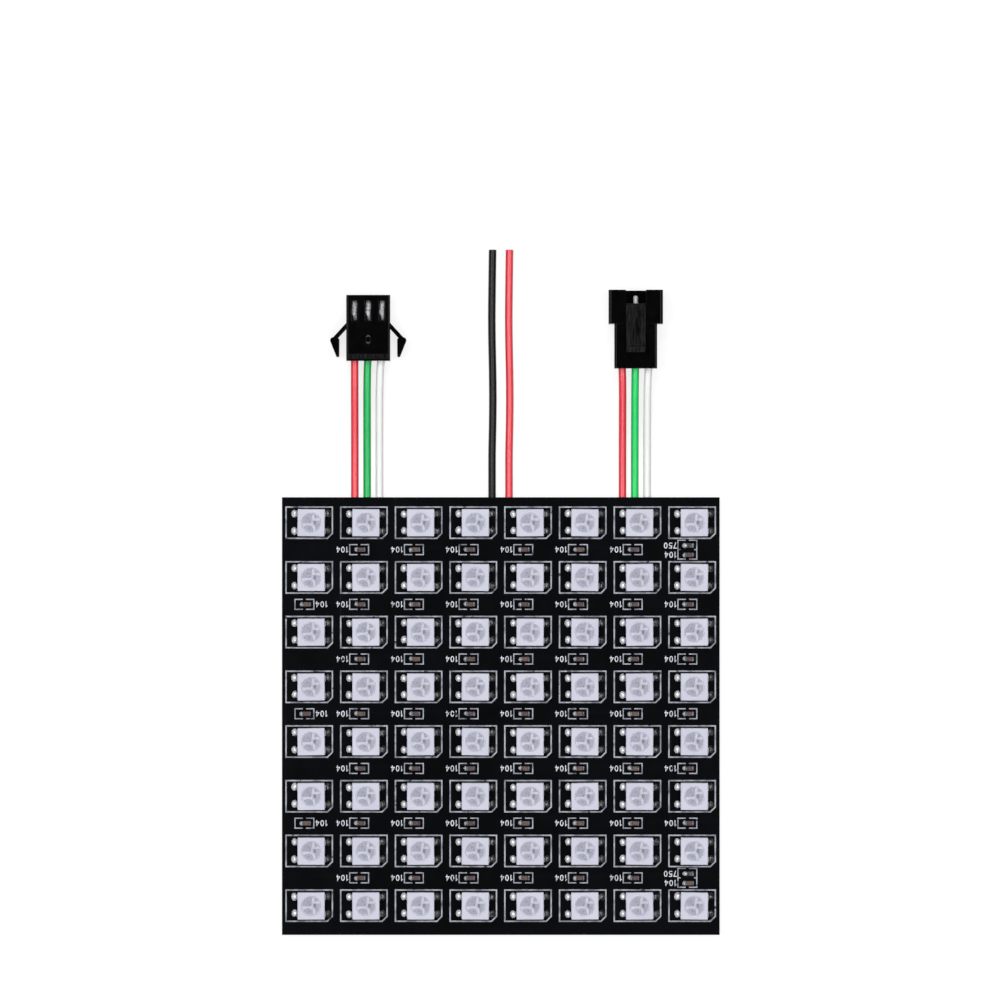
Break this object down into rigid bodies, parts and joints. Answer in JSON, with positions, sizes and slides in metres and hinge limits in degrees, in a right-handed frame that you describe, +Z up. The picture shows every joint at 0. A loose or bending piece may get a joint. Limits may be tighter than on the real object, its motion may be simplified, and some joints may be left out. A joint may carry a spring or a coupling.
{
  "type": "led dot matrix",
  "caption": "Square flexible LED matrix panel with chip capacitors between its LEDs, bare-ended power leads, and latching input and output connectors on short leads.",
  "frame": {"origin": "under the middle of the panel, on the surface that it lies on", "axes": "+Z up through the LEDs, +Y in the panel's plane towards the edge with the leads, +X to the right"},
  "size_m": [0.08, 0.1253, 0.0076],
  "materials": {
    "flex_circuit": "satin black coverlay film",
    "legend_ink": "matte pale grey printed ink",
    "tinned_copper": "dull tinned copper",
    "led_housing": "matte white moulded plastic",
    "leadframe": "satin silver-plated copper",
    "die": "polished semiconductor",
    "clear_resin": "clear cast resin",
    "solder": "bright reflowed solder",
    "capacitor_ceramic": "satin brown ceramic",
    "resistor_ceramic": "satin black glaze",
    "chip_terminal": "satin tin plating",
    "insulation_red": "satin flexible sheath",
    "insulation_green": "satin flexible sheath",
    "insulation_white": "satin flexible sheath",
    "insulation_black": "satin flexible sheath",
    "connector_plastic": "satin black moulded nylon",
    "tinned_brass": "bright tin plating"
  },
  "bodies": {
    "root": {"flex_circuit": "flex_circuit", "printed_legend": "legend_ink", "back_solder_pads": "tinned_copper", "led_housings_row_1": "led_housing", "led_housings_row_2": "led_housing", "led_housings_row_3": "led_housing", "led_housings_row_4": "led_housing", "led_housings_row_5": "led_housing", "led_housings_row_6": "led_housing", "led_housings_row_7": "led_housing", "led_housings_row_8": "led_housing", "led_leadframes_row_1": "leadframe", "led_leadframes_row_2": "leadframe", "led_leadframes_row_3": "leadframe", "led_leadframes_row_4": "leadframe", "led_leadframes_row_5": "leadframe", "led_leadframes_row_6": "leadframe", "led_leadframes_row_7": "leadframe", "led_leadframes_row_8": "leadframe", "led_dies_row_1": "die", "led_dies_row_2": "die", "led_dies_row_3": "die", "led_dies_row_4": "die", "led_dies_row_5": "die", "led_dies_row_6": "die", "led_dies_row_7": "die", "led_dies_row_8": "die", "led_lenses_row_1": "clear_resin", "led_lenses_row_2": "clear_resin", "led_lenses_row_3": "clear_resin", "led_lenses_row_4": "clear_resin", "led_lenses_row_5": "clear_resin", "led_lenses_row_6": "clear_resin", "led_lenses_row_7": "clear_resin", "led_lenses_row_8": "clear_resin", "led_solder_joints": "solder", "capacitor_bodies": "capacitor_ceramic", "capacitor_terminals": "chip_terminal", "resistor_bodies": "resistor_ceramic", "resistor_terminals": "chip_terminal", "chip_solder_joints": "solder", "input_lead_red": "insulation_red", "input_lead_green": "insulation_green", "input_lead_white": "insulation_white", "power_lead_black": "insulation_black", "power_lead_red": "insulation_red", "output_lead_red": "insulation_red", "output_lead_green": "insulation_green", "output_lead_white": "insulation_white", "lead_conductors": "tinned_copper", "lead_solder_joints": "solder", "input_connector_housing": "connector_plastic", "input_socket_terminal_1": "tinned_brass", "input_socket_terminal_2": "tinned_brass", "input_socket_terminal_3": "tinned_brass", "output_connector_housing": "connector_plastic", "output_pin_terminal_1": "tinned_brass", "output_pin_terminal_2": "tinned_brass", "output_pin_terminal_3": "tinned_brass"}
  },
  "joints": []
}
